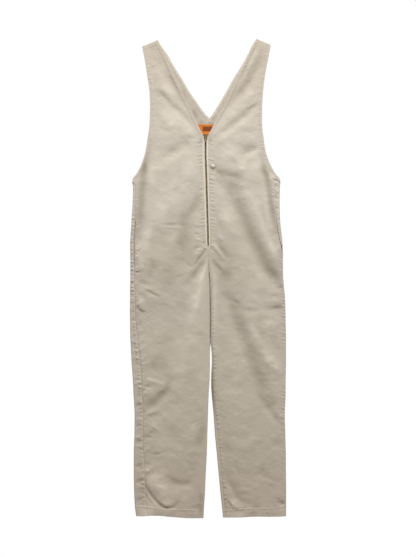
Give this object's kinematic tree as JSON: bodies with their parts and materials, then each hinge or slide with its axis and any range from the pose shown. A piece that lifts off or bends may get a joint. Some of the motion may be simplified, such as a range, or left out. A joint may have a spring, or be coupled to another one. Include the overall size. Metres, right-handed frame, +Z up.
{
  "type": "sleeveless zip-front work overalls",
  "caption": "Sleeveless one-piece work overalls in cotton twill, laid flat front up, with a short exposed front zip and a swinging pull tab.",
  "frame": {"origin": "middle of the garment's outline on the table, under the back panels", "axes": "+X towards the wearer's left side, +Y from the hems to the straps, +Z up from the table"},
  "size_m": [0.455, 1.391, 0.0157],
  "materials": {
    "twill": "matt ecru cotton twill",
    "label": "woven orange label",
    "pocketing": "plain pocketing cotton",
    "tape": "woven zip tape",
    "brass_dark": "antiqued dark brass",
    "brass_gold": "gold brass"
  },
  "bodies": {
    "garment": {"front_right": "twill", "front_left": "twill", "back_right": "twill", "back_left": "twill", "neck_facing_right": "twill", "neck_facing_left": "twill", "neck_label": "label", "pocket_bag_right": "pocketing", "pocket_bag_left": "pocketing", "zip_tape_right": "tape", "zip_tape_left": "tape", "zip_chain": "brass_dark", "zip_slider": "brass_dark", "zip_stop": "brass_dark"},
    "pull": {"zip_pull": "brass_gold"}
  },
  "joints": [
    {"name": "zip_pull_swing", "type": "hinge", "parent": "garment", "child": "pull", "pos_m": [-0.00679, 0.4079, 0.00695], "axis": [-1, 0, 0], "range_deg": [0, 150]}
  ]
}
